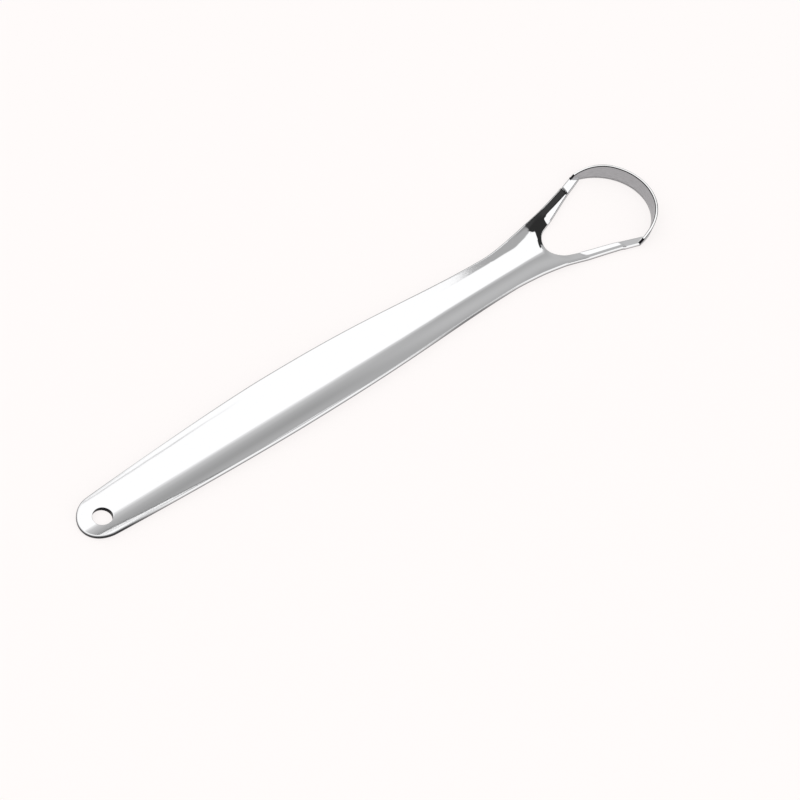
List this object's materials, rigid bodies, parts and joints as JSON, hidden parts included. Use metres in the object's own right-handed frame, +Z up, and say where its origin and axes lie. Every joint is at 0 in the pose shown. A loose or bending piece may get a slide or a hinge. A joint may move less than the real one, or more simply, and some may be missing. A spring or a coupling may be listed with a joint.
{
  "type": "tongue scraper",
  "caption": "Slim stainless steel tongue scraper: channelled handle with a hang hole, forking into arms that carry an upright curved scraping band.",
  "frame": {"origin": "centre of the hang hole at the underside of the sheet, on the plane that the scraper lies on", "axes": "+X along the handle towards the scraping band, +Y to the left of that, +Z up out of the channel, the side that the band stands up on"},
  "size_m": [0.1449, 0.0224, 0.0037],
  "materials": {
    "polished_steel": "mirror polished stainless steel with rolled edges",
    "satin_steel": "satin ground stainless steel, grain along the band"
  },
  "bodies": {
    "root": {"handle_fork": "polished_steel", "scraper_band": "satin_steel"}
  },
  "joints": []
}
